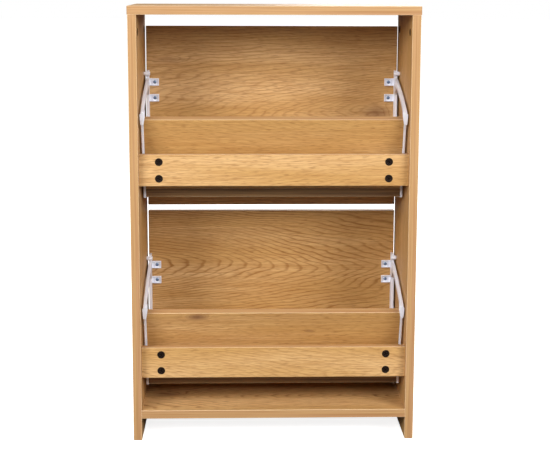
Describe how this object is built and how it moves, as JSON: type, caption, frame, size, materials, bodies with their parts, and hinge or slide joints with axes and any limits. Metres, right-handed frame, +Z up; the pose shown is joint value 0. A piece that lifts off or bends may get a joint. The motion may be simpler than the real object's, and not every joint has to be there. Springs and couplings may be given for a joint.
{
  "type": "tilting shoe cabinet",
  "caption": "Slim open-backed shoe cabinet in oak-look board whose fronts tilt forward on white side brackets to open leaning shoe bins.",
  "frame": {"origin": "on the floor under the middle of the cabinet", "axes": "+Z up, +X to the right of someone facing the doors, +Y to the open back, so the door fronts face -Y"},
  "size_m": [0.6, 0.24, 0.92],
  "materials": {
    "oak_laminate": "satin",
    "white_plastic": "satin",
    "black_cam": "satin",
    "zinc_steel": "satin",
    "beech_dowel": "matt"
  },
  "bodies": {
    "carcass": {"side_panel_left": "oak_laminate", "side_panel_right": "oak_laminate", "top_panel": "oak_laminate", "bottom_board": "oak_laminate", "top_cam_locks": "black_cam", "top_cam_bolts": "zinc_steel", "bottom_cam_locks": "black_cam", "bottom_cam_bolts": "zinc_steel", "top_dowels": "beech_dowel", "bottom_dowels": "beech_dowel", "rail_lower": "oak_laminate", "rail_lower_cam_locks": "black_cam", "rail_lower_cam_bolts": "zinc_steel", "rail_upper": "oak_laminate", "rail_upper_cam_locks": "black_cam", "rail_upper_cam_bolts": "zinc_steel", "lower_pivot_studs": "white_plastic", "lower_stop_pegs": "white_plastic", "upper_pivot_studs": "white_plastic", "upper_stop_pegs": "white_plastic"},
    "upper_bin": {"upper_door": "oak_laminate", "upper_bracket_left": "white_plastic", "upper_bracket_right": "white_plastic", "upper_back_board": "oak_laminate", "upper_shelf": "oak_laminate", "upper_door_screws": "zinc_steel", "upper_board_screws": "zinc_steel"},
    "lower_bin": {"lower_door": "oak_laminate", "lower_bracket_left": "white_plastic", "lower_bracket_right": "white_plastic", "lower_back_board": "oak_laminate", "lower_shelf": "oak_laminate", "lower_door_screws": "zinc_steel", "lower_board_screws": "zinc_steel"}
  },
  "joints": [
    {"name": "upper_bin_tilt", "type": "hinge", "parent": "carcass", "child": "upper_bin", "pos_m": [0, -0.09, 0.505], "axis": [1, 0, 0], "range_deg": [0, 30]},
    {"name": "lower_bin_tilt", "type": "hinge", "parent": "carcass", "child": "lower_bin", "pos_m": [0, -0.09, 0.091], "axis": [1, 0, 0], "range_deg": [0, 30]}
  ]
}
